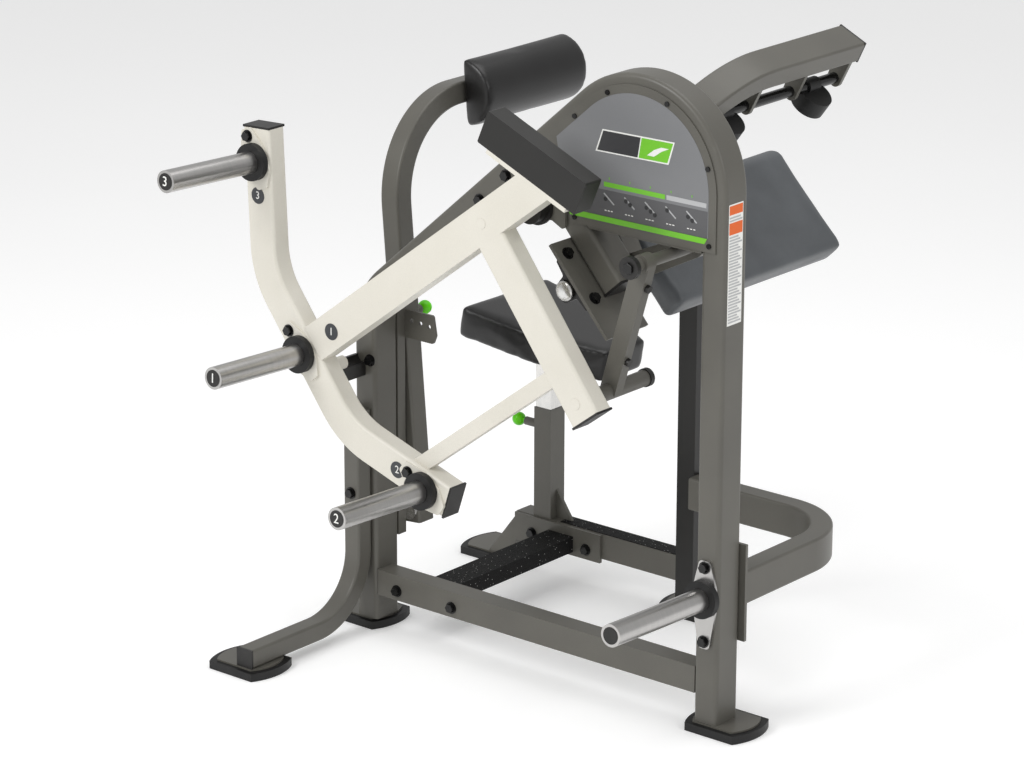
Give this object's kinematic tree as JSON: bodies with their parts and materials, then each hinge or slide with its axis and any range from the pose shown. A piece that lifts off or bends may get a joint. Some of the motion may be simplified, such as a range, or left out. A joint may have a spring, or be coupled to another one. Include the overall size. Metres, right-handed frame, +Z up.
{
  "type": "plate-loaded seated arm machine",
  "caption": "Plate-loaded seated arm machine: arched tube frame with a pivoting loading lever, linked overhead handle arm, angled arm pad, adjustable seat and backrest.",
  "frame": {"origin": "centre of the bounding box's footprint, on the floor", "axes": "+X the way the user faces, +Y towards the seat side, +Z up"},
  "size_m": [1.2288, 1.2866, 1.394],
  "materials": {
    "powder_coat_grey": "satin bronze-grey powder coat",
    "powder_coat_black": "satin black powder coat",
    "powder_coat_cream": "satin cream powder coat",
    "brushed_steel": "turned and brushed steel",
    "black_rubber": "moulded black rubber",
    "black_plastic": "matt moulded plastic",
    "black_bolts": "black oxide fasteners",
    "green_knob": "bright green moulded knob",
    "printed_panel": "printed sheet",
    "black_vinyl": "grained black vinyl",
    "grey_upholstery": "grained mid-grey vinyl"
  },
  "bodies": {
    "frame": {"right_frame_tube": "powder_coat_grey", "left_frame_tube": "powder_coat_grey", "cross_leg": "powder_coat_grey", "panel_rail": "powder_coat_grey", "front_base_bar": "powder_coat_grey", "front_left_leg": "powder_coat_grey", "spine_bar": "powder_coat_grey", "spine_end_plate": "powder_coat_grey", "side_brace": "powder_coat_grey", "mast_spacer": "powder_coat_grey", "seat_sleeve": "powder_coat_grey", "lever_pivot_plate": "powder_coat_grey", "arm_bearing_plate": "powder_coat_grey", "adjuster_plate": "powder_coat_grey", "side_brace_plate": "powder_coat_black", "rear_post": "powder_coat_black", "stop_bracket": "powder_coat_black", "lever_bearing": "powder_coat_black", "pillow_blocks": "powder_coat_black", "step_bar": "powder_coat_black", "foot_plates": "powder_coat_black", "storage_horn": "brushed_steel", "mast_pivot_bolt": "brushed_steel", "panel_screws": "brushed_steel", "rubber_feet": "black_rubber", "storage_collar": "black_rubber", "frame_end_caps": "black_plastic", "frame_bolts": "black_bolts", "info_panel": "printed_panel", "arm_pad": "grey_upholstery"},
    "loading_lever": {"lever_arc_tube": "powder_coat_cream", "lever_beam": "powder_coat_cream", "lever_crank": "powder_coat_cream", "lever_brace": "powder_coat_cream", "counterweight": "powder_coat_black", "lever_pins": "brushed_steel", "stop_peg": "powder_coat_cream", "horn_flanges": "powder_coat_cream", "horn_sleeves": "brushed_steel", "horn_collars": "black_rubber", "lever_end_caps": "black_plastic", "horn_bolts": "black_bolts"},
    "link": {"link_bar": "powder_coat_grey", "link_caps": "black_plastic"},
    "user_arm": {"arm_tube": "powder_coat_grey", "arm_hub": "powder_coat_grey", "arm_end_cap": "black_plastic", "arm_shaft": "brushed_steel", "crank_plate": "powder_coat_grey", "handle_rod": "powder_coat_grey", "handle_ears": "powder_coat_grey"},
    "grip_right": {"hand_grip_right": "black_rubber"},
    "grip_left": {"hand_grip_left": "black_rubber"},
    "seat": {"seat_carriage": "brushed_steel", "seat_pad": "black_vinyl"},
    "seat_pin": {"seat_pin": "green_knob"},
    "mast": {"mast": "powder_coat_grey", "back_pad": "black_vinyl"},
    "mast_pin": {"mast_pin": "green_knob"}
  },
  "joints": [
    {"name": "lever_swing", "type": "hinge", "parent": "frame", "child": "loading_lever", "pos_m": [0.057, 0, 1.074], "axis": [0, 1, 0], "range_deg": [0, 40]},
    {"name": "arm_swing", "type": "hinge", "parent": "frame", "child": "user_arm", "pos_m": [0.167, 0, 0.919], "axis": [0, 1, 0], "range_deg": [0, 76]},
    {"name": "link_pivot", "type": "hinge", "parent": "loading_lever", "child": "link", "pos_m": [0.3102, 0, 0.7364], "axis": [0, 1, 0], "range_deg": [0, 23]},
    {"name": "grip_turn_right", "type": "hinge", "parent": "user_arm", "child": "grip_right", "pos_m": [0.255, 0.196, 1.235], "axis": [0, 1, 0], "range_deg": [-40, 35]},
    {"name": "grip_turn_left", "type": "hinge", "parent": "user_arm", "child": "grip_left", "pos_m": [0.255, 0.512, 1.235], "axis": [0, 1, 0], "range_deg": [-40, 35]},
    {"name": "seat_height", "type": "slide", "parent": "frame", "child": "seat", "axis": [0, 0, 1], "range_m": [-0.118, 0.08]},
    {"name": "seat_pin_pull", "type": "slide", "parent": "frame", "child": "seat_pin", "axis": [-1, 0, 0], "range_m": [0, 0.012], "stiffness_N_per_m": 400, "springref_m": -0.01},
    {"name": "mast_tilt", "type": "hinge", "parent": "frame", "child": "mast", "pos_m": [-0.406, -0.035, 0.256], "axis": [0, 1, 0], "range_deg": [0, 12.8]},
    {"name": "mast_pin_pull", "type": "slide", "parent": "mast", "child": "mast_pin", "axis": [0, 1, 0], "range_m": [0, 0.012], "stiffness_N_per_m": 400, "springref_m": -0.01}
  ],
  "couplings": [
    {"joint": "arm_swing", "follows": "lever_swing", "ratio": 1.9},
    {"joint": "link_pivot", "follows": "lever_swing", "ratio": 0.57}
  ]
}
